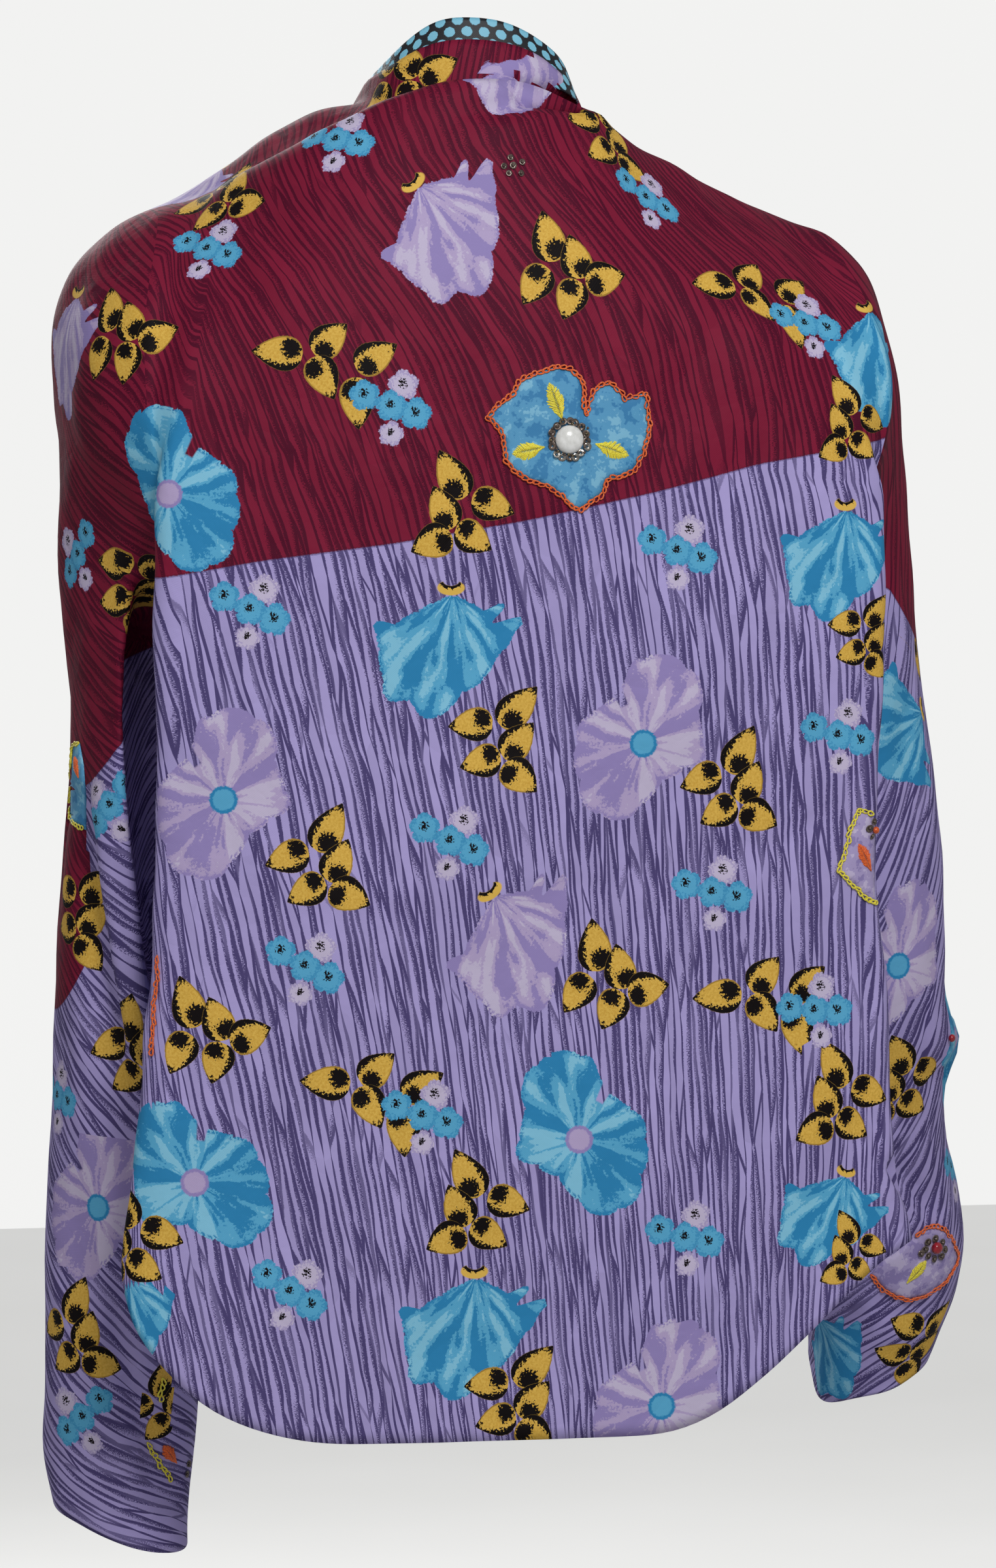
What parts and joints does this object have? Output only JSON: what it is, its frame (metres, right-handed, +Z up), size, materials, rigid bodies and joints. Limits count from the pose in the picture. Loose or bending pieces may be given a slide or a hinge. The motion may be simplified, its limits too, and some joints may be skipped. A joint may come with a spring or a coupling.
{
  "type": "shrug",
  "caption": "Open-fronted cocoon shrug with a soft rolled collar, a long rounded back and batwing sleeves, hollow and posed as it hangs when worn.",
  "frame": {"origin": "nape of the wearer's neck, in the middle of the neck opening, at the level of the shoulders", "axes": "+Z is up along the wearer, the back faces -Y, the open front faces +Y, and the wearer's right arm is at +X"},
  "size_m": [0.4725, 0.242, 0.7427],
  "materials": {
    "lavender print": "satin",
    "burgundy print": "satin",
    "dotted lining": "satin"
  },
  "bodies": {
    "root": {"back": "lavender print", "sleeve_left": "lavender print", "sleeve_right": "lavender print", "front_left": "burgundy print", "front_right": "burgundy print", "collar": "burgundy print", "neck_lining": "dotted lining"}
  },
  "joints": []
}
